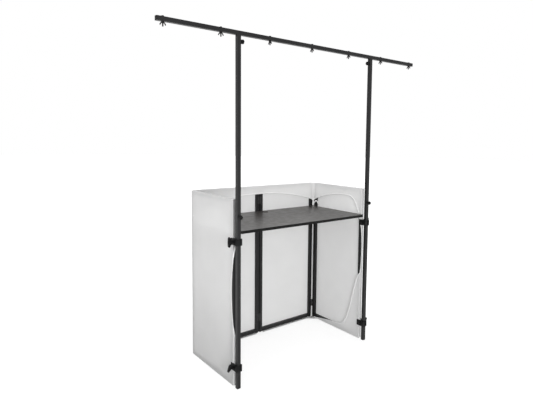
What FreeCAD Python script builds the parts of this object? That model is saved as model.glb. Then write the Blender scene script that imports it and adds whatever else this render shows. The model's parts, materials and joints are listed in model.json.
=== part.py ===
import FreeCAD, Part
import math
import os

# A DJ booth: four tube frames in a U under a white stretch cover, a table inside,
# and a lighting gantry on two masts clamped behind the side frames.
# Millimetres. +X along the crossbar, +Y towards the audience, +Z up.
# The origin is on the floor, in the middle of the booth's plan.

V = FreeCAD.Vector

# Square steel tube of frames, masts and crossbar
tube = 25.0
tube_wall = 1.5

# Frames
front_panel_width = 561.0
side_panel_width = 584.0
panel_height = 1230.0
panel_foot = 8.0
panel_foot_inset = 2.5
panel_foot_taper = 2.0
centre_gap = 9.0
corner_gap = 8.0

# Hinges between the frames
hinge_height = 60.0
hinge_low = 104.0
hinge_high = 85.0
hinge_leaf = 18.0
hinge_thick = 2.0
hinge_pin_radius = 2.0
hinge_play = 0.05
knuckle_gap = 0.4

# Table
table_height = 1028.0
table_thick = 19.0
table_side_gap = 12.5
table_front_gap = 8.0
table_overhang = 36.0
table_corner = 14.0
edging_thick = 1.5
cable_hole_radius = 30.0
cable_hole_inset = 65.0
bracket_thick = 3.0
bracket_drop = 35.0
bracket_reach = 34.0

# Masts and crossbar
mast_gap = 28.0
mast_foot = 6.0
mast_plug = 20.0
joint_above_table = 60.0
mast_top = 2235.0
spigot_clear = 0.2
spigot_wall = 1.5
spigot_half = 100.0
crossbar_length = 2190.0
stub_length = 80.0
cap_flange = 3.0
cap_plug = 15.0

# Hanging bolts and their wing nuts
hang_count = 7
hang_end = 39.0
hang_outside = 118.0
hang_radius = 4.0
hang_drop = 27.0
hang_head_width = 13.0
hang_head_height = 5.3
hole_clear = 0.2
turn_clear = 0.05
seat_clear = 0.3
nut_height = 9.0
nut_radius = 8.0
nut_wing_span = 36.0
nut_wing_drop = 21.0
nut_wing_thick = 3.6
nuts_along_bar = 2

# Lock knobs
knob_reach = 25.0
knob_neck = 9.0
knob_neck_radius = 6.5
knob_radius = 14.0
knob_lobes = 6
knob_dip = 3.0
knob_cap = 1.6
knob_cap_radius = 9.5
stud_radius = 4.0
stud_engage = 9.0
mast_knob_rise = 34.0
bar_knob_drop = 36.0

# Clamps that tie each mast to a side frame
clamp_below_table = 66.0
clamp_lower = 137.0
jaw_thick = 9.0
jaw_height = 42.0
jaw_lip = 6.0
jaw_lip_cover = 8.0
jaw_cover = 17.0
jaw_corner = 4.0
jaw_relief = 1.8
jaw_relief_lead = 5.0
jaw_pocket = 2.0
jaw_rim = 5.0
jaw_web = 1.5
boss_half = 11.0
boss_height = 3.0
clamp_bolt_radius = 4.0
clamp_bolt_engage = 20.0
clamp_head_width = 13.0
clamp_head_height = 4.5

# Wing knobs on the clamps
wing_length = 33.0
wing_neck = 11.0
wing_neck_radius = 9.0
wing_span = 66.0
wing_thick = 9.0
wing_tilt_upper = 0.0
wing_tilt_lower = 24.0

# Stretch cover
scrim_thick = 1.0
scrim_clear = 0.3
scrim_floor = 2.0
hem_drop_middle = 60.0
hem_drop_corner = 140.0
hem_drop_rear = 65.0
hem_rear_run = 190.0
hem_drop_post = 212.0
hem_rear_low = 300.0
hem_foot_top = 540.0
hem_foot_base = 55.0
hem_foot_knee = 130.0
hem_foot_rail = 210.0
hem_foot_rail_height = 60.0
hem_foot_run = 330.0
hem_under = 15.0
hem_bevel = 12.0
floor_flap = 62.0
rear_cut_low = 445.0
rear_cut_high = 775.0
rear_cut_deep = 9.0
rear_bare_low = 310.0
rear_bare_high = 930.0
right_bare_deep = 10.0

# Places that follow from the sizes above
side_outer = centre_gap / 2 + front_panel_width + corner_gap + tube
side_inner = side_outer - tube
front_end = side_inner - corner_gap
mast_x = side_outer - tube / 2
cover = scrim_clear + scrim_thick
front_reach = tube / 2 + mast_gap + side_panel_width + corner_gap + tube + cover
rear_reach = tube / 2 + knob_reach
mast_y = (rear_reach - front_reach) / 2
mast_rear = mast_y - tube / 2
frame_rear = mast_y + tube / 2 + mast_gap
side_front = frame_rear + side_panel_width
front_inner = side_front + corner_gap
front_outer = front_inner + tube
table_half = side_inner - table_side_gap
table_near = frame_rear - table_overhang
table_far = front_inner - table_front_gap
table_under = table_height - table_thick
mast_joint_height = table_height + joint_above_table
clamp_upper = table_height - clamp_below_table
spigot = tube - 2 * tube_wall - 2 * spigot_clear
cover_top = panel_height + cover
hang_last = crossbar_length / 2 - hang_end
hang_pitch = 2 * (mast_x + hang_outside) / (hang_count - 3)
hang_inner = [(i - (hang_count - 3) / 2) * hang_pitch for i in range(hang_count - 2)]
hang_places = [-hang_last] + hang_inner + [hang_last]


def slab(x0, x1, y0, y1, z0, z1):
    """Box between two corners given in any order."""
    low = V(min(x0, x1), min(y0, y1), min(z0, z1))
    return Part.makeBox(abs(x1 - x0), abs(y1 - y0), abs(z1 - z0), low)


def upright_pipe(x, y, z0, z1, size=tube, wall=tube_wall):
    """Square pipe standing on its centre line."""
    half = size / 2
    bore = half - wall
    outside = slab(x - half, x + half, y - half, y + half, z0, z1)
    return outside.cut(slab(x - bore, x + bore, y - bore, y + bore, z0, z1))


def level_pipe(x0, x1, y, z, size=tube, wall=tube_wall):
    """Square pipe along X on its centre line."""
    half = size / 2
    bore = half - wall
    outside = slab(x0, x1, y - half, y + half, z - half, z + half)
    return outside.cut(slab(x0, x1, y - bore, y + bore, z - bore, z + bore))


def outline(steps, place):
    """Closed face: a step is a point for a line, or two points for an arc through the first."""
    edges = []
    here = steps[0]
    for step in steps[1:] + [steps[0]]:
        if isinstance(step[0], tuple):
            middle, end = step
            edges.append(Part.Arc(place(*here), place(*middle), place(*end)).toShape())
        elif step != here:
            end = step
            edges.append(Part.LineSegment(place(*here), place(*end)).toShape())
        here = end
    return Part.Face(Part.Wire(edges))


def in_plan(z):
    return lambda x, y: V(x, y, z)


def facing_x(x):
    return lambda y, z: V(x, y, z)


def facing_y(y):
    return lambda x, z: V(x, y, z)


def other_side(shape):
    """The same piece on the other side of the booth."""
    return shape.mirror(V(0, 0, 0), V(1, 0, 0))


def save(name, shapes):
    """One file per node; a list of pieces becomes a group of separate solids."""
    shape = Part.makeCompound(shapes) if isinstance(shapes, list) else shapes
    shape.exportStep("parts/" + name + ".step")


def save_pair(name, shape):
    """A right-hand piece and its left-hand twin."""
    save("right_" + name, shape)
    save("left_" + name, other_side(shape))


def panel_frame(width):
    """Four mitred tubes: width along X from 0, thickness along Y from 0."""
    low = panel_foot
    high = panel_height
    middle = tube / 2
    left = upright_pipe(middle, middle, low, high)
    right = upright_pipe(width - middle, middle, low, high)
    bottom = level_pipe(0, width, middle, low + middle)
    top = level_pipe(0, width, middle, high - middle)
    inner_left = tube
    inner_right = width - tube
    inner_low = low + tube
    inner_high = high - tube
    members = (
        (left, [(0, low), (inner_left, inner_low), (inner_left, inner_high), (0, high)]),
        (right, [(width, low), (inner_right, inner_low), (inner_right, inner_high), (width, high)]),
        (bottom, [(0, low), (width, low), (inner_right, inner_low), (inner_left, inner_low)]),
        (top, [(0, high), (width, high), (inner_right, inner_high), (inner_left, inner_high)]),
    )
    mitred = []
    for pipe, corners in members:
        mitred.append(pipe.common(outline(corners, facing_y(0)).extrude(V(0, tube, 0))))
    return Part.makeCompound(mitred)


def make_frames():
    front = panel_frame(front_panel_width)
    front.translate(V(centre_gap / 2, front_inner, 0))
    save("front_right_frame", front)
    save("front_left_frame", other_side(front))
    side = panel_frame(side_panel_width)
    side.rotate(V(0, 0, 0), V(0, 0, 1), 90)
    side.translate(V(side_outer, frame_rear, 0))
    save_pair("side_frame", side)


def square_wire(x, y, z, half):
    signs = [(-1, -1), (1, -1), (1, 1), (-1, 1), (-1, -1)]
    return Part.makePolygon([V(x + a * half, y + b * half, z) for a, b in signs])


def make_panel_feet():
    """Square rubber pads under the posts, tapered to the floor."""
    post_y = front_inner + tube / 2
    half = tube / 2
    places = [
        (centre_gap / 2 + half, post_y),
        (front_end - half, post_y),
        (side_outer - half, frame_rear + half),
        (side_outer - half, side_front - half),
    ]
    top_half = half - panel_foot_inset
    floor_half = top_half - panel_foot_taper
    feet = []
    for x, y in places:
        for side in (1, -1):
            low = square_wire(side * x, y, 0, floor_half)
            high = square_wire(side * x, y, panel_foot, top_half)
            feet.append(Part.makeLoft([low, high], True, True))
    save("panel_feet", feet)


def hinge(z0):
    """Butt hinge about the Z axis: a leaf along +X that holds the pin, and one along +Y that turns."""
    knuckle = corner_gap / 2
    third = hinge_height / 3
    reach = knuckle + hinge_leaf
    room = knuckle + knuckle_gap
    levels = [z0, z0 + third, z0 + 2 * third]
    rings = [Part.makeCylinder(knuckle, third, V(0, 0, z)) for z in levels]
    rooms = [slab(-room, room, -room, room, z - knuckle_gap, z + third + knuckle_gap) for z in levels]
    pin = Part.makeCylinder(hinge_pin_radius, hinge_height, V(0, 0, z0))
    hole = Part.makeCylinder(hinge_pin_radius + hinge_play, hinge_height, V(0, 0, z0))
    fixed = slab(0, reach, -knuckle, hinge_thick - knuckle, z0, z0 + hinge_height)
    fixed = fixed.cut(rooms[1]).fuse([rings[0], rings[2], pin]).removeSplitter()
    turning = slab(-knuckle, hinge_thick - knuckle, 0, reach, z0, z0 + hinge_height)
    turning = turning.cut(rooms[0]).cut(rooms[2])
    ring = rings[1].cut(slab(-knuckle, knuckle, -knuckle, knuckle, z0 + third, z0 + third + knuckle_gap))
    turning = turning.fuse(ring).cut(hole).removeSplitter()
    return fixed, turning


def make_hinges():
    """Two hinges at each fold: in the open corners, and on the inner faces at the centre."""
    corner = V(side_inner - corner_gap / 2, front_inner - corner_gap / 2, 0)
    centre = V(0, front_inner - corner_gap / 2, 0)
    corner_leaves = []
    centre_leaves = []
    for z0 in (hinge_low, panel_height - hinge_high - hinge_height):
        for leaf in hinge(z0):
            leaf.translate(corner)
            corner_leaves.append(leaf)
        fixed, turning = hinge(z0)
        right_leaf = fixed.mirror(V(0, 0, 0), V(0, 1, 0))
        left_leaf = turning.mirror(V(0, 0, 0), V(1, 1, 0))
        for leaf in (right_leaf, left_leaf):
            leaf.translate(centre)
            centre_leaves.append(leaf)
    save("right_corner_hinges", corner_leaves)
    save("left_corner_hinges", [other_side(leaf) for leaf in corner_leaves])
    save("centre_hinges", centre_leaves)


def rounded_plate(half_width, y0, y1, corner, z0, z1):
    """Level plate with round corners."""
    plate = slab(-half_width, half_width, y0, y1, z0, z1)
    upright = [edge for edge in plate.Edges if abs(edge.Length - (z1 - z0)) < 1e-6]
    return plate.makeFillet(corner, upright)


def make_table():
    """Laminate board with an edge strip all round and a hole for cables."""
    near = table_near + edging_thick
    far = table_far - edging_thick
    half = table_half - edging_thick
    core_corner = table_corner - edging_thick
    whole = rounded_plate(table_half, table_near, table_far, table_corner, table_under, table_height)
    core = rounded_plate(half, near, far, core_corner, table_under, table_height)
    hole_place = V(0, table_far - cable_hole_inset, table_under)
    hole = Part.makeCylinder(cable_hole_radius, table_thick, hole_place)
    save("table_top", core.cut(hole))
    save("table_edging", whole.cut(core))


def make_brackets():
    """Angles under the table: four on the front posts, two on the rear posts of the side frames.
    A table as high as the cover's hem has its front angles over the cloth."""
    top = table_under
    leg_low = top - bracket_drop
    under_hem = top <= panel_height - hem_drop_corner
    seat = front_inner if under_hem else front_inner - cover
    brackets = []
    for post in (centre_gap / 2, front_end - tube):
        leg = slab(post, post + tube, seat - bracket_thick, seat, leg_low, top)
        shelf = slab(post, post + tube, seat - bracket_reach, seat, top - bracket_thick, top)
        brackets.append(leg.fuse(shelf).removeSplitter())
    rear_face = frame_rear + tube
    under_table = table_half - bracket_reach
    leg = slab(side_inner, side_outer, rear_face, rear_face + bracket_thick, leg_low, top)
    shelf = slab(under_table, side_outer, rear_face, rear_face + tube, top - bracket_thick, top)
    brackets.append(leg.fuse(shelf).removeSplitter())
    save("table_brackets", brackets + [other_side(bracket) for bracket in brackets])


def make_masts():
    lower = upright_pipe(mast_x, mast_y, mast_foot, mast_joint_height)
    save_pair("lower_mast", lower)
    low = mast_joint_height - spigot_half
    high = mast_joint_height + spigot_half
    save_pair("mast_spigot", upright_pipe(mast_x, mast_y, low, high, spigot, spigot_wall))
    upper = upright_pipe(mast_x, mast_y, mast_joint_height, mast_top)
    hole_radius = stud_radius + hole_clear
    knob_place = V(mast_x, mast_rear, mast_joint_height + mast_knob_rise)
    bar_place = V(side_inner, mast_y, mast_top - bar_knob_drop)
    upper = upper.cut(Part.makeCylinder(hole_radius, tube_wall, knob_place, V(0, 1, 0)))
    upper = upper.cut(Part.makeCylinder(hole_radius, tube_wall, bar_place, V(1, 0, 0)))
    save_pair("upper_mast", upper)
    half = tube / 2
    plug = spigot / 2
    flange = slab(mast_x - half, mast_x + half, mast_y - half, mast_y + half, 0, mast_foot)
    stem_top = mast_foot + mast_plug
    stem = slab(mast_x - plug, mast_x + plug, mast_y - plug, mast_y + plug, mast_foot, stem_top)
    foot = flange.fuse(stem).removeSplitter()
    save("mast_feet", [foot, other_side(foot)])


def make_crossbar():
    half = crossbar_length / 2
    middle_z = mast_top + tube / 2
    bar = level_pipe(-half + cap_flange, half - cap_flange, mast_y, middle_z)
    for x in hang_places:
        bar = bar.cut(Part.makeCylinder(hang_radius + hole_clear, tube, V(x, mast_y, mast_top)))
    save("crossbar", bar)
    stub = upright_pipe(mast_x, mast_y, mast_top - stub_length, mast_top, spigot, spigot_wall)
    save("crossbar_stubs", [stub, other_side(stub)])
    side = tube / 2
    plug = spigot / 2
    flange = slab(half - cap_flange, half, mast_y - side, mast_y + side, mast_top, mast_top + tube)
    stem = slab(half - cap_flange - cap_plug, half - cap_flange, mast_y - plug, mast_y + plug,
                middle_z - plug, middle_z + plug)
    cap = flange.fuse(stem).removeSplitter()
    save("crossbar_end_caps", [cap, other_side(cap)])


def hex_prism(across_flats, height, base):
    """Six-sided head standing on its base point."""
    radius = across_flats / math.sqrt(3)
    corners = []
    for i in range(6):
        angle = math.radians(60 * i)
        corners.append((base.x + radius * math.cos(angle), base.y + radius * math.sin(angle)))
    return outline(corners, in_plan(base.z)).extrude(V(0, 0, height))


def make_hanging_bolts():
    bar_top = mast_top + tube
    bolts = []
    for x in hang_places:
        shank = Part.makeCylinder(hang_radius, tube + hang_drop, V(x, mast_y, mast_top - hang_drop))
        head = hex_prism(hang_head_width, hang_head_height, V(x, mast_y, bar_top))
        bolts.append(shank.fuse(head).removeSplitter())
    save("hanging_bolts", bolts)


def wing_nut():
    """Wing nut with its seat at Z 0 and its wings along X, opening downwards."""
    root = nut_radius - 3
    tip = nut_wing_span / 2
    low = -nut_wing_drop
    hub = Part.makeCylinder(nut_radius, nut_height, V(0, 0, -nut_height))
    steps = [
        (root, -1.5),
        (nut_radius + 2, -3.5),
        (tip, low * 0.7),
        (tip - 1, low * 0.92),
        (tip - 3, low),
        (tip - 5.5, low * 0.85),
        (nut_radius, -nut_height),
        (root, -nut_height),
    ]
    wing = outline(steps, facing_y(-nut_wing_thick / 2)).extrude(V(0, nut_wing_thick, 0))
    bore = Part.makeCylinder(hang_radius + turn_clear, nut_height + nut_wing_drop, V(0, 0, low))
    return hub.fuse([wing, other_side(wing)]).cut(bore).removeSplitter()


def make_wing_nuts():
    """The first nuts stand along the bar, the others across it."""
    for number, x in enumerate(hang_places, start=1):
        nut = wing_nut()
        if number > nuts_along_bar:
            nut.rotate(V(0, 0, 0), V(0, 0, 1), 90)
        nut.translate(V(x, mast_y, mast_top - seat_clear))
        save("wing_nut_" + str(number), nut)


def lobed_face(x, radius, lobes, dip):
    """Knob outline across X: round lobes that meet in dips."""
    step = 2 * math.pi / lobes

    def point(reach, angle):
        return (reach * math.cos(angle), reach * math.sin(angle))

    steps = [point(radius - dip, -step / 2)]
    for i in range(lobes - 1):
        steps.append((point(radius, i * step), point(radius - dip, (i + 0.5) * step)))
    last = (lobes - 1) * step
    start = point(radius - dip, -step / 2)
    return outline(steps + [(point(radius, last), start)], facing_x(x))


def star_knob():
    """Lobed knob along +X with its stud; the tube's face is at X 0."""
    along = V(1, 0, 0)
    neck = Part.makeCylinder(knob_neck_radius, knob_neck - seat_clear, V(seat_clear, 0, 0), along)
    head = lobed_face(knob_neck, knob_radius, knob_lobes, knob_dip)
    head = head.extrude(V(knob_reach - knob_cap - knob_neck, 0, 0))
    cap_start = V(knob_reach - knob_cap, 0, 0)
    cap = Part.makeCone(knob_cap_radius, knob_cap_radius - knob_cap, knob_cap, cap_start, along)
    socket_end = knob_neck + stud_engage
    socket = socket_end - seat_clear
    tip = -(tube_wall + spigot_clear - seat_clear)
    bore = Part.makeCylinder(stud_radius + turn_clear, socket, V(seat_clear, 0, 0), along)
    knob = neck.fuse([head, cap]).cut(bore).removeSplitter()
    stud = Part.makeCylinder(stud_radius, socket_end - tip, V(tip, 0, 0), along)
    return knob, stud


def make_lock_knobs():
    """Knobs on the masts' rear faces at the joint, and on their inner faces under the crossbar."""
    places = (
        ("mast_knob", -90, V(mast_x, mast_rear, mast_joint_height + mast_knob_rise)),
        ("crossbar_knob", 180, V(side_inner, mast_y, mast_top - bar_knob_drop)),
    )
    for name, turn, place in places:
        knob, stud = star_knob()
        for piece, suffix in ((knob, ""), (stud, "_stud")):
            piece.rotate(V(0, 0, 0), V(0, 0, 1), turn)
            piece.translate(place)
            save_pair(name + suffix, piece)


def clamp_jaw():
    """Moulded jaw: X 0 on the mast's face, X outwards, Z 0 at the bolt."""
    end = frame_rear + jaw_cover
    start = mast_rear - jaw_lip
    bolt_y = frame_rear - mast_gap / 2
    relief_start = frame_rear - jaw_relief_lead
    steps = [
        (0, mast_rear),
        (-jaw_lip_cover, mast_rear),
        (-jaw_lip_cover, start),
        (jaw_thick - jaw_corner, start),
        (jaw_thick, start + jaw_corner),
        (jaw_thick, end - jaw_corner),
        (jaw_thick - jaw_corner, end),
        (jaw_relief, end),
        (jaw_relief, relief_start),
        (0, relief_start),
    ]
    half = jaw_height / 2
    along = V(1, 0, 0)
    jaw = outline(steps, in_plan(-half)).extrude(V(0, 0, jaw_height))
    pocket_half = half - jaw_rim
    boss_room = boss_half + jaw_web
    rear_pocket = (start + jaw_corner + jaw_rim, bolt_y - boss_room)
    front_pocket = (bolt_y + boss_room, end - jaw_corner - jaw_web)
    for y0, y1 in (rear_pocket, front_pocket):
        jaw = jaw.cut(slab(jaw_thick - jaw_pocket, jaw_thick, y0, y1, -pocket_half, pocket_half))
    depth = jaw_thick + boss_height
    jaw = jaw.fuse(slab(jaw_thick, depth, bolt_y - boss_half, bolt_y + boss_half, -boss_half, boss_half))
    hole = Part.makeCylinder(clamp_bolt_radius + hole_clear, depth, V(0, bolt_y, 0), along)
    return jaw.cut(hole).removeSplitter()


def wing_knob(tilt):
    """Wing knob along +X from its seat, its wings flaring up and down, turned by tilt about X."""
    along = V(1, 0, 0)
    half = wing_span / 2
    tip_start = wing_neck + (wing_length - wing_neck) * 0.3
    tip_end = wing_length - 2
    neck = Part.makeCylinder(wing_neck_radius, wing_length - 4, V(0, 0, 0), along)
    root = wing_neck_radius - 2
    steps = [
        (wing_neck - 5, -root),
        (wing_neck, -half * 0.55),
        (tip_start, -half + 5),
        (((tip_start + tip_end) / 2, -half), (tip_end, -half + 5)),
        ((wing_length, 0), (tip_end, half - 5)),
        (((tip_start + tip_end) / 2, half), (tip_start, half - 5)),
        (wing_neck, half * 0.55),
        (wing_neck - 5, root),
    ]
    wings = outline(steps, facing_y(-wing_thick / 2)).extrude(V(0, wing_thick, 0))
    bore = Part.makeCylinder(clamp_bolt_radius + turn_clear, clamp_bolt_engage, V(0, 0, 0), along)
    knob = neck.fuse(wings).cut(bore).removeSplitter()
    knob.rotate(V(0, 0, 0), along, tilt)
    return knob


def make_clamps():
    bolt_y = frame_rear - mast_gap / 2
    along = V(1, 0, 0)
    seat = side_outer + jaw_thick + boss_height + seat_clear
    inner_seat = side_inner - jaw_thick - boss_height
    bolts = []
    levels = (("upper", clamp_upper, wing_tilt_upper), ("lower", clamp_lower, wing_tilt_lower))
    for level, z, tilt in levels:
        outer = clamp_jaw()
        inner = other_side(outer)
        outer.translate(V(side_outer, 0, z))
        inner.translate(V(side_inner, 0, z))
        save_pair(level + "_clamp_outer_jaw", outer)
        save_pair(level + "_clamp_inner_jaw", inner)
        knob = wing_knob(tilt)
        knob.translate(V(seat, bolt_y, z))
        save_pair(level + "_clamp_wing_knob", knob)
        length = seat + clamp_bolt_engage - 1 - inner_seat
        shank = Part.makeCylinder(clamp_bolt_radius, length, V(inner_seat, bolt_y, z), along)
        head = hex_prism(clamp_head_width, clamp_head_height, V(0, 0, 0))
        head.rotate(V(0, 0, 0), V(0, 1, 0), -90)
        head.translate(V(inner_seat, bolt_y, z))
        bolt = shank.fuse(head).removeSplitter()
        bolts += [bolt, other_side(bolt)]
    save("clamp_bolts", bolts)


def side_cover_outside(cut_rear):
    """Outer wall of a side panel; cut_rear lets its rear hem curve back and bare the post."""
    rear = frame_rear - cover
    steps = [(rear, scrim_floor), (side_front, scrim_floor), (side_front, cover_top), (rear, cover_top)]
    if cut_rear:
        middle = (rear_cut_low + rear_cut_high) / 2
        steps += [(rear, rear_cut_high), ((frame_rear + rear_cut_deep, middle), (rear, rear_cut_low))]
    return outline(steps, facing_x(side_outer + scrim_clear)).extrude(V(scrim_thick, 0, 0))


def side_cover_inside(foot_top):
    """Inner hem of a side panel: a band under the top that sweeps down the rear post, and a foot corner."""
    rear = frame_rear - scrim_clear
    front = side_front - hem_bevel
    edge_high = panel_height - hem_drop_rear
    sweep_low = panel_height - hem_rear_low
    corner_low = panel_height - hem_drop_corner
    slope_mid = (frame_rear + hem_rear_run * 2.1, edge_high - (edge_high - corner_low) * 0.38)
    post_low = panel_height - hem_drop_post
    sweep_mid = (frame_rear + hem_rear_run * 0.45, edge_high - (edge_high - post_low) * 0.22)
    upper = [
        (rear, cover_top),
        (front, cover_top),
        (front, corner_low),
        (slope_mid, (frame_rear + hem_rear_run, edge_high)),
        (sweep_mid, (frame_rear + tube, post_low)),
        (rear, sweep_low),
    ]
    foot_rise = foot_top - hem_foot_base
    shin_mid = (frame_rear + hem_foot_knee * 0.5, hem_foot_base + foot_rise * 0.65)
    knee = (frame_rear + hem_foot_knee, hem_foot_base + foot_rise * 0.24)
    rail = (frame_rear + hem_foot_rail, hem_foot_rail_height)
    toe_mid = (knee[0] + (rail[0] - knee[0]) * 0.44, hem_foot_base + foot_rise * 0.11)
    lower = [
        (rear, scrim_floor),
        (rear, foot_top),
        (shin_mid, knee),
        (toe_mid, rail),
        (frame_rear + hem_foot_run, panel_foot),
        (frame_rear + hem_foot_run, scrim_floor),
    ]
    plane = facing_x(side_inner - cover)
    return [outline(steps, plane).extrude(V(scrim_thick, 0, 0)) for steps in (upper, lower)]


def side_cover(cut_rear):
    """Side panel of the cover on the right: walls, top fold, rear fold, hem and the fold under the rail."""
    rear = frame_rear - cover
    inner = side_inner - scrim_clear
    pieces = [side_cover_outside(cut_rear)]
    pieces += side_cover_inside(rear_bare_low if cut_rear else hem_foot_top)
    pieces.append(slab(inner, side_outer + scrim_clear, frame_rear - scrim_clear, side_front,
                       panel_height + scrim_clear, cover_top))
    outer = side_outer + scrim_clear
    lap = side_inner - cover
    bare_mid = (lap + right_bare_deep, (rear_bare_high + hem_foot_top) / 2)
    folds = [
        [(lap, scrim_floor), (outer, scrim_floor), (outer, cover_top), (lap, cover_top),
         (lap, rear_bare_high), (bare_mid, (lap, hem_foot_top))],
    ]
    if cut_rear:
        folds = [
            [(lap, scrim_floor), (outer, scrim_floor), (outer, rear_cut_low), (lap, rear_bare_low)],
            [(lap, rear_bare_high), (outer, rear_cut_high), (outer, cover_top), (lap, cover_top)],
        ]
    pieces += [outline(fold, facing_y(rear)).extrude(V(0, scrim_thick, 0)) for fold in folds]
    fold_start = frame_rear + tube + hem_under
    fold_end = side_front - tube
    pieces.append(slab(lap, outer, fold_start, fold_end, scrim_floor - scrim_thick, scrim_floor))
    return pieces


def front_cover():
    """Front panel of the cover with the bevels over the open outer corners."""
    wall_y = front_outer + scrim_clear
    pieces = [slab(-front_end, front_end, wall_y, wall_y + scrim_thick, scrim_floor, cover_top)]
    side_wall = side_outer + scrim_clear
    bevel = [
        (front_end, wall_y),
        (front_end, wall_y + scrim_thick),
        (side_wall + scrim_thick, side_front),
        (side_wall, side_front),
    ]
    bevel_wall = outline(bevel, in_plan(scrim_floor)).extrude(V(0, 0, cover_top - scrim_floor))
    hem_face = front_inner - scrim_clear
    side_hem = side_inner - scrim_clear
    hem_end = front_end - hem_bevel
    hem_side_end = side_front - hem_bevel
    corner = [(front_end, wall_y), (side_wall, side_front), (side_hem, side_front), (front_end, hem_face)]
    inner_corner = [(front_end, hem_face), (side_hem, side_front), (side_hem, hem_side_end),
                    (hem_end, hem_face)]
    for lid in (corner, inner_corner):
        cap = outline(lid, in_plan(panel_height + scrim_clear)).extrude(V(0, 0, scrim_thick))
        pieces += [cap, other_side(cap)]
    corner_low = panel_height - hem_drop_corner
    hem_bevel_plan = [
        (hem_end, hem_face),
        (hem_end, hem_face - scrim_thick),
        (side_hem - scrim_thick, hem_side_end),
        (side_hem, hem_side_end),
    ]
    inner_bevel = outline(hem_bevel_plan, in_plan(corner_low)).extrude(V(0, 0, cover_top - corner_low))
    pieces += [bevel_wall, other_side(bevel_wall), inner_bevel, other_side(inner_bevel)]
    pieces.append(slab(-front_end, front_end, hem_face, wall_y, panel_height + scrim_clear, cover_top))
    hem = [
        (-hem_end, cover_top),
        (-hem_end, corner_low),
        ((0, panel_height - hem_drop_middle), (hem_end, corner_low)),
        (hem_end, cover_top),
    ]
    pieces.append(outline(hem, facing_y(hem_face - scrim_thick)).extrude(V(0, scrim_thick, 0)))
    first = centre_gap / 2 + tube
    fold_top = scrim_floor + scrim_thick
    flap_start = front_end - floor_flap
    under = slab(first, flap_start, front_inner - hem_under, wall_y, scrim_floor, fold_top)
    lap = side_inner - cover
    flap_end = side_front - floor_flap
    flap = [
        (flap_start, front_inner - hem_under),
        (lap - hem_under, flap_end),
        (lap, flap_end),
        (lap, front_inner),
        (flap_start, front_inner),
    ]
    flap = outline(flap, in_plan(scrim_floor)).extrude(V(0, 0, scrim_thick))
    pieces += [under, other_side(under), flap, other_side(flap)]
    return pieces


def make_cover():
    save("scrim_front", front_cover())
    save("scrim_right", side_cover(False))
    save("scrim_left", [other_side(piece) for piece in side_cover(True)])


os.makedirs("parts", exist_ok=True)
make_frames()
make_panel_feet()
make_hinges()
make_table()
make_brackets()
make_masts()
make_crossbar()
make_hanging_bolts()
make_wing_nuts()
make_lock_knobs()
make_clamps()
make_cover()
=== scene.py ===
import json
import math
from collections import namedtuple

import bmesh
import bpy
from mathutils import Matrix, Vector, noise


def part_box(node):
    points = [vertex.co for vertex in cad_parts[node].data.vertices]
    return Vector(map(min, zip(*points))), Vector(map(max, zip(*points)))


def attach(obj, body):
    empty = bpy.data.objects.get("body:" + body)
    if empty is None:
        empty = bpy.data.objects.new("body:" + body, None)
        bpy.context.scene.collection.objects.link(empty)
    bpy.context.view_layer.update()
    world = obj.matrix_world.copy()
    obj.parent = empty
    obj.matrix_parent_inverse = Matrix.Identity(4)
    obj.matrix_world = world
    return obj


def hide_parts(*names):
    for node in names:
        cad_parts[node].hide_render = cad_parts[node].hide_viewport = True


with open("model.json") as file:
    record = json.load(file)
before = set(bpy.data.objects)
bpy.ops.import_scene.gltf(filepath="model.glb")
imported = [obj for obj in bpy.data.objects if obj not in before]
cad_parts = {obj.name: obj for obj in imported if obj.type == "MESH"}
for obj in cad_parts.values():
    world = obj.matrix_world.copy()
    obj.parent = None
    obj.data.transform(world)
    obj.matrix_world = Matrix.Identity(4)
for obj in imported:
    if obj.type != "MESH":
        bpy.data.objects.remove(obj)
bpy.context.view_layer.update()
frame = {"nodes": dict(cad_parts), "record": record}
nodes = frame["nodes"]

# Places of the tube frames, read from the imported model, in metres
side_low, side_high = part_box("right_side_frame")
front_low, front_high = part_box("front_right_frame")
side_inner, side_outer = side_low.x, side_high.x
frame_rear, side_front = side_low.y, side_high.y
front_inner, front_outer = front_low.y, front_high.y
front_end, centre_half = front_high.x, front_low.x
frame_top = side_high.z
tube = side_outer - side_inner

# The stretch cover over the frames
cover_gap = 0.0008
cover_round = 0.0023
cover_floor = 0.0025
cover_top = frame_top + cover_gap
cover_rear = frame_rear - cover_gap
cover_inner = side_inner - cover_gap
cover_outer = side_outer + cover_gap
side_length = side_front - frame_rear + cover_gap
post_width = tube + 2 * cover_gap
floor_reach = 0.015
floor_flap = 0.062
window_dip = 0.0025
window_uneven = 0.35
window_waves = 3.1

# The hem inside the upper rails, from the middle of the front to the rear posts
hem_bevel = 0.012
corner_half = hem_bevel * math.sqrt(2) / 2
hem_drop_middle = 0.060
hem_drop_corner = 0.140
hem_drop_side = 0.065
hem_corner_sag = 0.012
hem_sweep_run = 0.190
hem_sweep_power = 3.3
hem_slope_power = 2.1
hem_post_low = 0.930

# The hem at the foot of the rear posts, and the soft folds along it; sides are 1 right and -1 left
foot_tops = {1: 0.540, -1: 0.310}
foot_base = 0.050
foot_fade = 0.109
foot_power = 2.0
foot_flat = 0.260
foot_run = 0.556
foot_run_power = 0.75
fold_start = 0.03
fold_rise = 0.06
fold_deep = 0.0028
fold_fade = 0.14
fold_wave = 0.0095

# Lowest and highest point of the bow that bares a rear post, and its depth
rear_bows = {1: (0.540, 0.930, 0.0105), -1: (0.303, 0.945, 0.0445)}

# The rolled edge of the hem
hem_half_width = 0.0050
hem_half_thick = 0.0024
hem_sides = 10
hem_step = 0.01
foot_hem_first = 0.004
foot_hem_step = 0.008

# The tabs and ties at the front corners
tie_half_width = 0.0055
tie_half_thick = 0.0009
tie_gap = 0.0012
tie_low = 1.030
tab_half_width = 0.0080
tab_low = 1.0295
tab_middle = 1.050
tab_high = 1.075

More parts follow.
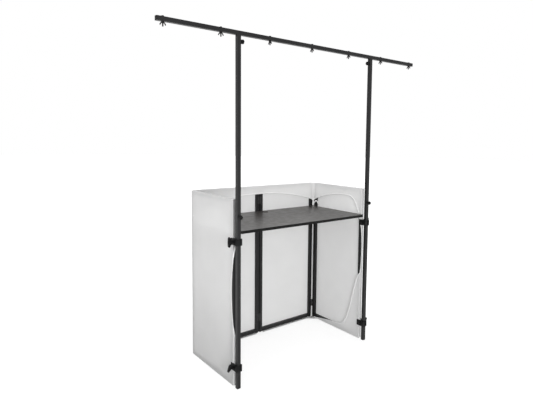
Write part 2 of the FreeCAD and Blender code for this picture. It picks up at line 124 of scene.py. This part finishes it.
# Rows and columns of the cover's mesh, closer where the cloth turns over an edge
edge_near = 0.0012
edge_far = 0.004
edge_steps = (0.0, edge_near, edge_far)
row_first = 0.012
row_last = 0.008
foot_row_step = 0.0145
wall_row_step = 0.0195
hem_row_step = 0.011
foot_row_gap = 0.001
column_step = 0.03
sweep_column_step = 0.011
post_columns = (0.009, 0.015, 0.0205)
corner_shares = (0.03, 0.1, 0.3, 0.5, 0.7, 0.9, 0.97)
floor_shares = (1.0, 0.6, 0.25)
foot_column_first = 0.009
foot_column_step = 0.0085
under_edge = 0.002
top_edge = 0.0024
top_turn = 0.0004
least_step = 0.0006

# How near a point counts as on the front wall, at a rear post or on the floor, and what is merged
front_reach = 0.01
rear_reach = 0.006
rear_round_reach = 1.8 * cover_round
floor_slip = 0.001
cover_weld = 0.00005
band_weld = 0.00002

Column = namedtuple("Column", "outer inner hem floor on_post")


def shader_of(made):
    return made.node_tree.nodes["Principled BSDF"]


def surface_of(made):
    return made.node_tree.nodes["Material Output"].inputs["Surface"]


def material(name, colour, roughness, metallic=0.0, specular=0.5):
    """A plain material, which the finishes below add to."""
    made = bpy.data.materials.new(name)
    made.use_nodes = True
    inputs = shader_of(made).inputs
    inputs["Base Color"].default_value = (*colour, 1)
    inputs["Roughness"].default_value = roughness
    inputs["Metallic"].default_value = metallic
    inputs["Specular IOR Level"].default_value = specular
    return made


def node(owner, kind, **settings):
    """A new node of a material or the world; settings are values of its inputs, or its own."""
    new = owner.node_tree.nodes.new(kind)
    for key, value in settings.items():
        if key in new.inputs:
            new.inputs[key].default_value = value
        else:
            setattr(new, key, value)
    return new


def join(owner, source, target):
    owner.node_tree.links.new(source, target)


def noise_of(made, scale, detail=3.0, stretch=(1, 1, 1)):
    """A noise in the object's own metres."""
    place = node(made, "ShaderNodeTexCoord")
    mapping = node(made, "ShaderNodeMapping", Scale=stretch)
    texture = node(made, "ShaderNodeTexNoise", Scale=scale, Detail=detail)
    join(made, place.outputs["Object"], mapping.inputs["Vector"])
    join(made, mapping.outputs["Vector"], texture.inputs["Vector"])
    return texture.outputs["Fac"]


def ramp(owner, source, low, high, from_low=0.3, from_high=0.7):
    """Spreads a value between two numbers."""
    spread = node(owner, "ShaderNodeMapRange")
    spread.inputs["From Min"].default_value = from_low
    spread.inputs["From Max"].default_value = from_high
    spread.inputs["To Min"].default_value = low
    spread.inputs["To Max"].default_value = high
    join(owner, source, spread.inputs["Value"])
    return spread.outputs["Result"]


def combined(owner, operation, first, second):
    """One value out of two by the operation named, kept between 0 and 1."""
    both = node(owner, "ShaderNodeMath", operation=operation, use_clamp=True)
    join(owner, first, both.inputs[0])
    join(owner, second, both.inputs[1])
    return both.outputs["Value"]


def tint(made, mask, first, second):
    """Mixes two colours by a mask, into the base colour."""
    mix = node(made, "ShaderNodeMix", data_type="RGBA")
    for socket in mix.inputs:
        if socket.type == "RGBA" and socket.name == "A":
            socket.default_value = (*first, 1)
        if socket.type == "RGBA" and socket.name == "B":
            socket.default_value = (*second, 1)
    join(made, mask, mix.inputs["Factor"])
    colour = [socket for socket in mix.outputs if socket.type == "RGBA"][0]
    join(made, colour, shader_of(made).inputs["Base Color"])
    return colour


def bump(made, height, strength, distance):
    """Fine relief of a surface; distance is its depth in metres."""
    dent = node(made, "ShaderNodeBump", Strength=strength, Distance=distance)
    join(made, height, dent.inputs["Height"])
    join(made, dent.outputs["Normal"], shader_of(made).inputs["Normal"])


def rough(made, source, low, high):
    """Spreads the roughness between two numbers by a noise."""
    join(made, ramp(made, source, low, high), shader_of(made).inputs["Roughness"])


def powder_coat():
    """Black powder coat on steel tube: fine orange peel and a faint dusty bloom."""
    made = material("black_powder_coat", (0.010, 0.010, 0.0105), 0.42, specular=0.22)
    tint(made, ramp(made, noise_of(made, 9), 0, 1), (0.008, 0.008, 0.0085), (0.013, 0.013, 0.0135))
    rough(made, noise_of(made, 40), 0.36, 0.5)
    bump(made, noise_of(made, 700, 2), 0.12, 0.0004)
    return made


def bare_tube():
    """Inner sleeve tubes: darkened steel with drawn lines along the tube."""
    made = material("darkened_steel", (0.06, 0.06, 0.063), 0.4, metallic=0.8)
    lines = noise_of(made, 260, 3, (1, 1, 0.03))
    tint(made, ramp(made, lines, 0, 1), (0.045, 0.045, 0.048), (0.085, 0.085, 0.088))
    rough(made, noise_of(made, 60), 0.32, 0.5)
    bump(made, lines, 0.1, 0.0003)
    return made


def black_steel():
    """Blackened hinges and brackets."""
    made = material("blackened_steel", (0.02, 0.02, 0.021), 0.45, metallic=0.35, specular=0.4)
    tint(made, ramp(made, noise_of(made, 120), 0, 1), (0.014, 0.014, 0.015), (0.032, 0.031, 0.031))
    rough(made, noise_of(made, 300), 0.38, 0.55)
    bump(made, noise_of(made, 900, 2), 0.1, 0.0003)
    return made


def moulded_plastic():
    """Clamp jaws, knobs and end caps: spark-textured black nylon."""
    made = material("moulded_black", (0.005, 0.005, 0.0052), 0.5, specular=0.12)
    tint(made, ramp(made, noise_of(made, 60), 0, 1), (0.0035, 0.0035, 0.0037), (0.007, 0.007, 0.0072))
    rough(made, noise_of(made, 220), 0.42, 0.58)
    bump(made, noise_of(made, 1600, 2), 0.22, 0.0003)
    return made


def bolt_steel():
    """Black oxide bolts with a worn sheen."""
    made = material("black_oxide", (0.014, 0.014, 0.015), 0.4, metallic=0.4, specular=0.25)
    tint(made, ramp(made, noise_of(made, 160), 0, 1), (0.010, 0.010, 0.011), (0.024, 0.023, 0.022))
    rough(made, noise_of(made, 260), 0.28, 0.5)
    bump(made, noise_of(made, 1200, 2), 0.1, 0.0002)
    return made


def nut_black():
    """Cast wing nuts under black paint."""
    made = material("cast_black", (0.007, 0.007, 0.0072), 0.48, specular=0.15)
    tint(made, ramp(made, noise_of(made, 140), 0, 1), (0.005, 0.005, 0.0052), (0.011, 0.011, 0.011))
    rough(made, noise_of(made, 320), 0.38, 0.55)
    bump(made, noise_of(made, 420, 3), 0.25, 0.0004)
    return made


def rubber():
    """Dull rubber feet."""
    made = material("black_rubber", (0.02, 0.02, 0.02), 0.8, specular=0.25)
    tint(made, ramp(made, noise_of(made, 90), 0, 1), (0.015, 0.015, 0.015), (0.04, 0.039, 0.037))
    rough(made, noise_of(made, 200), 0.72, 0.9)
    bump(made, noise_of(made, 1000, 3), 0.3, 0.0003)
    return made


def laminate():
    """Dark grey table laminate with a fine pearl texture that blurs what it reflects."""
    made = material("dark_laminate", (0.04, 0.036, 0.033), 0.36, specular=0.5)
    speck = noise_of(made, 900, 2)
    tint(made, ramp(made, speck, 0, 1), (0.032, 0.029, 0.0265), (0.054, 0.049, 0.0455))
    rough(made, noise_of(made, 25, 4), 0.32, 0.42)
    bump(made, noise_of(made, 520, 2), 0.12, 0.0004)
    return made


def edging():
    """Black plastic edge band, with faint drawn lines along it."""
    made = material("edge_band", (0.004, 0.004, 0.004), 0.45, specular=0.1)
    lines = noise_of(made, 420, 2, (0.02, 0.02, 1))
    tint(made, ramp(made, lines, 0, 1), (0.003, 0.003, 0.003), (0.006, 0.006, 0.006))
    rough(made, noise_of(made, 70), 0.34, 0.46)
    bump(made, lines, 0.08, 0.0003)
    return made


def stretch_fabric(name, through):
    """White stretch knit; through is the share of light that passes it."""
    made = material(name, (0.86, 0.86, 0.858), 0.88, specular=0.15)
    shader_of(made).inputs["Sheen Weight"].default_value = 0.15
    cloud = noise_of(made, 5, 2)
    colour = tint(made, ramp(made, cloud, 0, 1), (0.85, 0.85, 0.848), (0.88, 0.88, 0.878))
    rough(made, noise_of(made, 300), 0.82, 0.95)
    ribs = noise_of(made, 1400, 2, (1, 1, 0.35))
    bump(made, ribs, 0.25, 0.0003)
    passing = node(made, "ShaderNodeBsdfTranslucent")
    join(made, colour, passing.inputs["Color"])
    blend = node(made, "ShaderNodeMixShader", Fac=through)
    join(made, shader_of(made).outputs["BSDF"], blend.inputs[1])
    join(made, passing.outputs["BSDF"], blend.inputs[2])
    join(made, blend.outputs["Shader"], surface_of(made))
    return made


def ease_edges(piece, width):
    """Rounds a CAD piece's sharp edges a little."""
    bevel = piece.modifiers.new("eased_edges", "BEVEL")
    bevel.width = width
    bevel.segments = 2
    bevel.limit_method = "ANGLE"
    bevel.angle_limit = math.radians(40)


def dress_nodes(fabric):
    """Every CAD node gets its slot's material, and tubes and plates get eased edges."""
    finishes = {
        "black_tube": (powder_coat(), 0.0012),
        "inner_tube": (bare_tube(), 0),
        "black_steel_fittings": (black_steel(), 0.0004),
        "black_plastic": (moulded_plastic(), 0.0006),
        "black_bolts": (bolt_steel(), 0),
        "black_nuts": (nut_black(), 0.0005),
        "rubber": (rubber(), 0.0008),
        "table_laminate": (laminate(), 0),
        "table_edging": (edging(), 0.0005),
        "white_stretch_fabric": (fabric, 0),
    }
    slots = {part["node"]: part["material_slot"] for part in frame["record"]["subparts"]}
    for name, piece in nodes.items():
        finish, ease = finishes[slots[name]]
        piece.data.materials.clear()
        piece.data.materials.append(finish)
        if ease:
            ease_edges(piece, ease)


def side_hem(u):
    """Height of the hem inside a side panel, u metres in front of its rear edge."""
    high = frame_top - hem_drop_side
    corner = frame_top - hem_drop_corner
    if u < hem_sweep_run:
        return hem_post_low + (high - hem_post_low) * (1 - (1 - u / hem_sweep_run) ** hem_sweep_power)
    last = side_front - hem_bevel - frame_rear
    share = min(1, (u - hem_sweep_run) / (last - hem_sweep_run))
    return high + (corner - high) * share ** hem_slope_power


def front_hem(x):
    """Height of the hem inside the front, x metres from its middle."""
    corner = frame_top - hem_drop_corner
    middle = frame_top - hem_drop_middle
    return middle + (corner - middle) * min(1, abs(x) / (front_end - hem_bevel)) ** 2


def foot_hem(u, side):
    """Height of the lower hem inside a side panel's rear corner."""
    share = min(max((foot_run - u) / (foot_run - foot_flat), 0), 1)
    base = foot_base * share ** foot_run_power
    return base + (foot_tops[side] - foot_base) * math.exp(-((u / foot_fade) ** foot_power))


def bow_bare(z, side):
    """Width of a rear post that the cover's hem leaves bare at height z, from the inner edge."""
    low, high, deep = rear_bows[side]
    middle = (low + high) / 2
    half = (high - low) / 2
    return max(0, deep * (1 - ((z - middle) / half) ** 2))


def bow_tips():
    """Heights at which the left rear hem passes from the post's back to the outside wall."""
    low, high, deep = rear_bows[-1]
    middle = (low + high) / 2
    half = (high - low) / 2 * math.sqrt(1 - post_width / deep)
    return middle - half, middle + half


def rear_cut(z):
    """How far the left wall's rear edge is drawn forward at height z."""
    return max(0, bow_bare(z, -1) - post_width)


def spaced(start, end, step):
    """Even places from start to end, about a step apart."""
    count = max(1, round(abs(end - start) / step))
    return [start + (end - start) * k / count for k in range(count + 1)]


def merged(values, first=()):
    """Sorted, with near repeats dropped; the first values all stay."""
    kept = list(first)
    for value in values:
        if all(abs(value - other) > least_step for other in kept):
            kept.append(value)
    return sorted(kept)


def wall_levels():
    """Heights of the cover's rows, closer where hems and folds lie."""
    levels = [cover_floor + step for step in edge_steps] + [cover_top - step for step in edge_steps]
    levels += spaced(row_first, foot_tops[1], foot_row_step)
    levels += spaced(foot_tops[1], hem_post_low, wall_row_step)
    levels += spaced(hem_post_low, frame_top - row_last, hem_row_step)
    return merged(levels, first=[hem_post_low, *foot_tops.values(), *bow_tips()])


def floor_end(inner, along, run, reach):
    """Inner edge of the cloth on the floor; run is the way from the middle of the corner."""
    flap_run = floor_flap - hem_bevel + corner_half
    if abs(run) >= flap_run:
        return inner + along * reach
    start = Vector((front_end - floor_flap, front_inner - floor_reach))
    end = Vector((side_inner - floor_reach, side_front - floor_flap))
    return start.lerp(end, 0.5 + run / (2 * flap_run))


def front_columns():
    """Columns of the front's right half, from its middle to the corner."""
    post_edge = front_end - tube
    xs = spaced(0, post_edge, column_step) + [centre_half + tube]
    xs += [front_end - step for step in edge_steps]
    columns = []
    for x in merged(xs):
        inner_x = x * (front_end - hem_bevel) / front_end
        outer = Vector((x, front_outer + cover_gap))
        inner = Vector((inner_x, front_inner - cover_gap))
        run = inner_x - front_end + hem_bevel - corner_half
        floor = floor_end(inner, Vector((0, -1)), run, floor_reach)
        if x < centre_half + tube:
            floor = None
        columns.append(Column(outer, inner, front_hem(inner_x), floor, x > post_edge))
    return columns


def corner_columns(start):
    """Columns round the right front corner, after the front's last one."""
    last_outer = Vector((cover_outer, side_front))
    last_inner = Vector((cover_inner, side_front - hem_bevel))
    columns = []
    for share in corner_shares:
        outer = start.outer.lerp(last_outer, share)
        inner = start.inner.lerp(last_inner, share)
        hem_height = frame_top - hem_drop_corner - hem_corner_sag * math.sin(math.pi * share)
        floor = floor_end(inner, Vector((-1, -1)), (2 * share - 1) * corner_half, floor_reach)
        columns.append(Column(outer, inner, hem_height, floor, False))
    return columns


def side_columns():
    """Columns of the right side panel, from the corner to its rear edge."""
    us = [*edge_steps, *post_columns] + spaced(tube, hem_sweep_run, sweep_column_step)
    us += spaced(hem_sweep_run, side_length - tube, column_step)
    us += [side_length - step for step in edge_steps]
    columns = []
    for u in reversed(merged(us)):
        inner_u = u * (side_length - hem_bevel) / side_length
        outer = Vector((cover_outer, cover_rear + u))
        inner = Vector((cover_inner, cover_rear + inner_u))
        run = side_length - hem_bevel - inner_u + corner_half
        floor = floor_end(inner, Vector((-1, 0)), run, 0)
        if u < tube:
            floor = None
        columns.append(Column(outer, inner, side_hem(inner_u), floor, u > side_length - tube))
    return columns


def half_columns():
    """Columns of the right half, from the middle of the front to the rear edge."""
    front = front_columns()
    return front + corner_columns(front[-1]) + side_columns()


def mirrored(column):
    """The same column in the left half."""
    flip = Vector((-1, 1))
    floor = None if column.floor is None else column.floor * flip
    return column._replace(outer=column.outer * flip, inner=column.inner * flip, floor=floor)


def eased(n, z, width):
    """Rounds the cover's section where it turns over the rails: n runs from outside to inside."""
    low_n, high_n = cover_round, width - cover_round
    low_z, high_z = cover_floor + cover_round, cover_top - cover_round
    core_n = min(max(n, low_n), high_n)
    core_z = min(max(z, low_z), high_z)
    away = Vector((n - core_n, z - core_z))
    if n > width or away.length < cover_round * 0.5:
        return n, z
    away *= cover_round / away.length
    return core_n + away.x, core_z + away.y


def eased_rear(point):
    """Rounds the cover where it turns round a rear post."""
    if point.y > frame_rear + rear_reach or point.z < cover_floor - floor_slip:
        return point
    side = 1 if point.x > 0 else -1
    low = Vector((side_inner, frame_rear, cover_floor + cover_gap))
    high = Vector((side_outer, side_front, frame_top))
    own = Vector((side * point.x, point.y, point.z))
    ease = cover_round - cover_gap
    core = Vector([min(max(own[k], low[k] + ease), high[k] - ease) for k in range(3)])
    away = own - core
    if not 0 < away.length < rear_round_reach:
        return point
    own = core + away * (cover_round / away.length)
    return Vector((side * own.x, own.y, own.z))


def section(column):
    """A column's outer point, its direction inwards and its width."""
    away = column.inner - column.outer
    return column.outer, away.normalized(), away.length


def cloth_point(outer, along, n, z):
    """Point of the cloth, n metres inwards from the outer wall."""
    spot = outer + along * n
    return eased_rear(Vector((spot.x, spot.y, z)))


def fold_point(column, n, z):
    """Cloth that turns over or under a rail."""
    outer, along, width = section(column)
    n = n * width / post_width
    n, z = eased(n, z, width)
    return cloth_point(outer, along, n, z)


def floor_point(column, share):
    """Cloth that lies on the floor inside, share of the way to its edge."""
    if column.floor is None:
        return None
    spot = column.inner.lerp(column.floor, share)
    return Vector((spot.x, spot.y, cover_floor))


def under_point(column, n):
    """Cloth under the rails; a post's foot leaves only its inner edge."""
    if column.floor is None or (column.on_post and n < post_width):
        return None
    return fold_point(column, n, cover_floor)


def dip(share):
    """Depth of a stretched sheet between two rails, as a share of the deepest."""
    return math.sin(math.pi * min(max(share, 0), 1)) ** 0.5


def wall_slack(point):
    """How far the stretched cloth sinks between the rails, with a little unevenness."""
    height = (point.z - tube) / (frame_top - 2 * tube)
    if abs(point.y - front_outer) < front_reach:
        across = (abs(point.x) - tube) / (front_end - 2 * tube)
    else:
        across = (point.y - frame_rear - tube) / (side_front - frame_rear - 2 * tube)
    if not (0 < height < 1 and 0 < across < 1):
        return 0
    uneven = window_uneven * noise.noise(point * window_waves)
    return window_dip * dip(height) * dip(across) * (1 + uneven)


def wall_point(column, z):
    """Cloth of the outside wall; the left one's rear edge is drawn forward."""
    outer, along, width = section(column)
    if outer.x < -side_outer:
        cut = rear_cut(z)
        ahead = (outer.y - cover_rear) * (side_length - cut) / side_length
        outer = Vector((outer.x, cover_rear + cut + ahead))
    n, z = eased(0, z, width)
    n += wall_slack(Vector((outer.x, outer.y, z)))
    return cloth_point(outer, along, n, z)


def hem_point(column, z):
    """Cloth inside the rails, no lower than the hem."""
    outer, along, width = section(column)
    n, z = eased(width, max(z, column.hem), width)
    return cloth_point(outer, along, n, z)


def wall_rows(columns):
    """The outer cloth: floor fold and outside wall in one grid."""
    rows = []
    for share in floor_shares:
        rows.append([floor_point(column, share) for column in columns])
    for n in (post_width, tube - under_edge, tube / 2, edge_far, edge_near):
        rows.append([under_point(column, n) for column in columns])
    for z in wall_levels():
        rows.append([wall_point(column, z) for column in columns])
    return rows


def hem_rows(columns):
    """The cloth's turned edge: over the top rails and down inside to the hem."""
    rows = [[wall_point(column, cover_top) for column in columns]]
    for n in (edge_near, edge_far, tube / 2, tube - top_edge, tube + top_turn, post_width):
        rows.append([fold_point(column, n, cover_top) for column in columns])
    hem_levels = [z for z in wall_levels() if z >= hem_post_low]
    for z in reversed(hem_levels[:-1]):
        rows.append([hem_point(column, z) for column in columns])
    rows.append([hem_point(column, 0) for column in columns])
    return rows


def rear_row(side, z):
    """Cloth across the back of a rear post, from the outside wall to its inner edge or bare strip."""
    covered = (post_width - bow_bare(z, side)) / post_width
    far_steps = [post_width - step for step in reversed(edge_steps)]
    row = []
    for n in (*edge_steps, post_width / 2, *far_steps):
        row.append(eased_rear(Vector((side * (cover_outer - n * covered), cover_rear, z))))
    return row


def foot_fold(u, z, side):
    """Soft folds that run along the lower hem, inwards."""
    away = foot_hem(u, side) - z
    if away < 0 or u < tube:
        return 0
    fade = min(1, (u - tube) / fold_start) * min(1, z / fold_rise)
    return fade * fold_deep * math.exp(-away / fold_fade) * (0.5 + 0.5 * math.cos(away / fold_wave))


def foot_rows(side):
    """Inner cloth at the foot of a side panel's rear corner."""
    us = merged([*edge_steps] + spaced(foot_column_first, foot_run, foot_column_step))
    top = foot_hem(0, side)
    rows = []
    for level in [z for z in wall_levels() if z < top - foot_row_gap] + [top]:
        row = []
        for u in us:
            z = min(level, max(foot_hem(u, side), cover_floor))
            x = cover_inner - foot_fold(u, z, side)
            row.append(eased_rear(Vector((side * x, cover_rear + u, z))))
        rows.append(row)
    return rows


def add_grid(mesh, rows, finish=0):
    """Adds a quad wherever four neighbouring points exist."""
    made = [[None if p is None else mesh.verts.new(p) for p in row] for row in rows]
    for upper, lower in zip(made, made[1:]):
        for a, b, c, d in zip(upper, upper[1:], lower[1:], lower):
            if None not in (a, b, c, d):
                mesh.faces.new((a, b, c, d)).material_index = finish


def finish_mesh(name, mesh, finishes):
    """Turns a mesh into a smooth piece with its materials."""
    data = bpy.data.meshes.new(name)
    mesh.to_mesh(data)
    mesh.free()
    for face in data.polygons:
        face.use_smooth = True
    for finish in finishes:
        data.materials.append(finish)
    piece = bpy.data.objects.new(name, data)
    bpy.context.scene.collection.objects.link(piece)
    return piece


def make_cover(finishes):
    """The cover; its finishes are for the wall, the turned edge and the cloth over the left rear post,
    made more see-through so the black post darkens it: painted shade for the shade the left mast casts
    on that strip.
    """
    wall, turned, shaded_see_through = range(3)
    half = half_columns()
    columns = [mirrored(column) for column in reversed(half[1:])] + half
    mesh = bmesh.new()
    add_grid(mesh, wall_rows(columns), wall)
    add_grid(mesh, hem_rows(columns), turned)
    levels = wall_levels()
    tip_low, tip_high = bow_tips()
    add_grid(mesh, [rear_row(1, z) for z in levels], turned)
    add_grid(mesh, [rear_row(-1, z) for z in levels if z <= tip_low], turned)
    # Cloth over the left rear post: a more see-through knit, so the black post behind darkens it as
    # painted shade for the left mast's shade on this strip
    add_grid(mesh, [rear_row(-1, z) for z in levels if z >= tip_high], shaded_see_through)
    for side in (1, -1):
        add_grid(mesh, foot_rows(side), turned)
    bmesh.ops.remove_doubles(mesh, verts=mesh.verts, dist=cover_weld)
    bmesh.ops.dissolve_degenerate(mesh, edges=mesh.edges, dist=cover_weld)
    bmesh.ops.recalc_face_normals(mesh, faces=mesh.faces)
    return finish_mesh("cover", mesh, finishes)


def bow_spot(z, side):
    """Point and outward direction on a rear hem at height z."""
    bare = bow_bare(z, side)
    bare += min(bare, hem_half_width)
    if bare < post_width:
        return Vector((side * (cover_inner + bare), cover_rear, z)), Vector((0, -1, 0))
    return Vector((side * cover_outer, cover_rear + bare - post_width, z)), Vector((side, 0, 0))


def hem_path(side):
    """Points and outward directions along a hem, from the middle of the front to the floor."""
    inward = Vector((-side, 0, 0))
    path = []
    for column in half_columns():
        away = (column.inner - column.outer).normalized()
        point = Vector((side * column.inner.x, column.inner.y, column.hem))
        path.append((point, Vector((side * away.x, away.y, 0))))
    bow_levels = spaced(hem_post_low - hem_step, foot_tops[side] + hem_step, hem_step)
    path += [bow_spot(z, side) for z in bow_levels]
    for u in spaced(foot_hem_first, foot_run, foot_hem_step):
        z = max(foot_hem(u, side), cover_floor + hem_half_width)
        path.append((Vector((side * (cover_inner - foot_fold(u, z, side)), cover_rear + u, z)), inward))
    return path


def softened(path):
    """Cuts the corners of a path."""
    cut = [path[0]]
    for (a, out_a), (b, out_b) in zip(path, path[1:]):
        for share in (0.25, 0.75):
            cut.append((a.lerp(b, share), out_a.lerp(out_b, share)))
    return cut + [path[-1]]


def tie_path(side):
    """Elastic loop that ties the cover to a side frame's front post, under the upper hinge."""
    face = side_inner - tie_gap
    back = side_front - tube - tie_gap
    # Place across and along the booth, height over the loop's start, and outward direction
    places = (
        (side_inner - 0.0045, side_front + 0.0065, 0, -1, 0),
        (face, side_front - 0.001, 0.015, -1, 0),
        (face, side_front - 0.013, 0.030, -1, 0),
        (face, back, 0.043, -0.7, -0.7),
        (side_inner + 0.012, back, 0.039, 0, -1),
        (side_outer - 0.003, back, 0.026, 0, -1),
        (side_outer - 0.0005, back - 0.012, 0.008, -0.7, -0.7),
    )
    path = []
    for x, y, rise, out_x, out_y in places:
        path.append((Vector((side * x, y, tie_low + rise)), Vector((side * out_x, out_y, 0))))
    return softened(softened(path))


def tab_path(side):
    """The tab that hangs from the hem in the corner and holds the tie."""
    facing = Vector((-0.65 * side, -0.76, 0))
    places = (
        (front_end - 0.0005, front_inner - 0.0085, tab_low),
        (front_end, front_inner - 0.0088, tab_middle),
        (front_end + 0.0005, front_inner - 0.0088, tab_high),
    )
    return softened([(Vector((side * x, y, z)), facing) for x, y, z in places])


def add_band(mesh, path, half_width, half_thick):
    """A flattened roll along a path."""
    rings = []
    for k, (point, outward) in enumerate(path):
        before = path[max(0, k - 1)][0]
        after = path[min(len(path) - 1, k + 1)][0]
        along = (after - before).normalized()
        outward = (outward - along * outward.dot(along)).normalized()
        across = along.cross(outward)
        ring = []
        for turn in range(hem_sides):
            angle = 2 * math.pi * turn / hem_sides
            out = outward * (half_thick * math.cos(angle))
            ring.append(point + out + across * (half_width * math.sin(angle)))
        rings.append(ring + ring[:1])
    add_grid(mesh, rings)


def finish_bands(name, mesh, finish):
    """Closes the seams of the bands in a mesh and makes them one piece."""
    bmesh.ops.remove_doubles(mesh, verts=mesh.verts, dist=band_weld)
    bmesh.ops.recalc_face_normals(mesh, faces=mesh.faces)
    return finish_mesh(name, mesh, [finish])


def make_hem(finish):
    """The rolled edge of the cover, right and left."""
    mesh = bmesh.new()
    for side in (1, -1):
        add_band(mesh, hem_path(side), hem_half_width, hem_half_thick)
    return finish_bands("cover_hem", mesh, finish)


def make_ties(finish):
    """The elastic ties at the two front corners, with their tabs."""
    mesh = bmesh.new()
    for side in (1, -1):
        add_band(mesh, tie_path(side), tie_half_width, tie_half_thick)
        add_band(mesh, tab_path(side), tab_half_width, tie_half_thick)
    return finish_bands("cover_ties", mesh, finish)


def make_camera():
    """The photo's camera; focal length, centre and picture size are in pixels."""
    yaw, pitch, roll = math.radians(40.249), math.radians(-5.167), math.radians(0.852)
    focal, centre_x, centre_y = 458.634, 310.98, 181.11
    wide, high = 533, 400
    eye = (-2.07614, -2.77214, 1.61182)
    ahead = Vector((math.sin(yaw) * math.cos(pitch), math.cos(yaw) * math.cos(pitch), math.sin(pitch)))
    level = Vector((math.cos(yaw), -math.sin(yaw), 0))
    up = level.cross(ahead)
    right = level * math.cos(roll) + up * math.sin(roll)
    up = up * math.cos(roll) - level * math.sin(roll)
    data = bpy.data.cameras.new("camera")
    data.sensor_width = 36
    data.lens = data.sensor_width * focal / wide
    data.shift_x = -(centre_x - wide / 2) / wide
    data.shift_y = -(high / 2 - centre_y) / wide
    camera = bpy.data.objects.new("camera", data)
    turn = Matrix((right, up, -ahead)).transposed().to_4x4()
    camera.matrix_world = Matrix.Translation(eye) @ turn
    bpy.context.scene.collection.objects.link(camera)
    bpy.context.scene.camera = camera


def seen_straight(owner):
    """1 for rays that show the background: from the camera, a mirror or glass, not through cloth."""
    path = node(owner, "ShaderNodeLightPath").outputs
    glass = combined(owner, "SUBTRACT", path["Is Transmission Ray"], path["Is Diffuse Ray"])
    shown = combined(owner, "MAXIMUM", path["Is Camera Ray"], path["Is Glossy Ray"])
    return combined(owner, "MAXIMUM", shown, glass)


def make_world():
    """A white studio, a little dimmer where it lights the booth than where it is seen."""
    lighting, seen = 0.88, 1.0
    world = bpy.data.worlds.new("studio")
    world.use_nodes = True
    background = world.node_tree.nodes["Background"]
    background.inputs["Color"].default_value = (1, 1, 1, 1)
    strength = ramp(world, seen_straight(world), lighting, seen, 0, 1)
    join(world, strength, background.inputs["Strength"])
    bpy.context.scene.world = world


def make_floor():
    """A pale floor that keeps the booth's shadow and turns white away from it."""
    near_glow, far_glow = 0.7, 1.0
    near, far = 0.8, 1.3
    made = material("pale_floor", (0.4, 0.4, 0.4), 0.9, specular=0.1)
    place = node(made, "ShaderNodeTexCoord")
    away = node(made, "ShaderNodeVectorMath", operation="LENGTH")
    join(made, place.outputs["Object"], away.inputs[0])
    rising = ramp(made, away.outputs["Value"], near_glow, far_glow, near, far)
    glow = node(made, "ShaderNodeEmission")
    join(made, combined(made, "MULTIPLY", seen_straight(made), rising), glow.inputs["Strength"])
    both = node(made, "ShaderNodeAddShader")
    join(made, shader_of(made).outputs["BSDF"], both.inputs[0])
    join(made, glow.outputs["Emission"], both.inputs[1])
    join(made, both.outputs["Shader"], surface_of(made))
    mesh = bmesh.new()
    bmesh.ops.create_circle(mesh, cap_ends=True, segments=96, radius=40)
    finish_mesh("floor", mesh, [made])


def make_card():
    """A dark card left of the booth, unseen itself, that shades the foot of the left wall."""
    left, rear, front, high = -1.6, -2.0, 0.4, 0.62
    made = material("dark_card", (0.05, 0.05, 0.05), 0.9, specular=0)
    mesh = bmesh.new()
    corners = ((left, rear, 0), (left, front, 0), (left, front, high), (left, rear, high))
    mesh.faces.new([mesh.verts.new(corner) for corner in corners])
    card = finish_mesh("card", mesh, [made])
    card.visible_camera = False
    card.visible_glossy = False


def make_lamp(name, place, power):
    """A large soft box turned to the middle of the booth."""
    middle = Vector((0, 0, 0.8))
    data = bpy.data.lights.new(name, "AREA")
    data.size = 1.8
    data.energy = power
    lamp = bpy.data.objects.new(name, data)
    lamp.location = place
    aim = middle - lamp.location
    lamp.rotation_euler = aim.to_track_quat("-Z", "Y").to_euler()
    lamp.visible_camera = False
    bpy.context.scene.collection.objects.link(lamp)


knit = stretch_fabric("white_knit", 0.35)
doubled_knit = stretch_fabric("white_knit_doubled", 0.3)
# More see-through copy of the knit for the left rear post: stretched cloth lets some of the black post
# show, and the extra darkness is painted shade for the shade the left mast casts there
shaded_see_through_knit = stretch_fabric("white_knit_shaded_see_through", 0.8)
rolled_knit = stretch_fabric("white_knit_rolled", 0.18)
dress_nodes(knit)
cover = make_cover([knit, doubled_knit, shaded_see_through_knit])
hem = make_hem(rolled_knit)
ties = make_ties(rolled_knit)
for piece in (cover, hem, ties):
    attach(piece, "booth")
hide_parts("scrim_left", "scrim_front", "scrim_right")

make_camera()
make_world()
make_floor()
make_card()
make_lamp("key", (-3.6, 0.2, 1.6), 21)
make_lamp("fill", (-1.8, -3.4, 1.2), 106)
bpy.context.scene.view_settings.view_transform = "Standard"
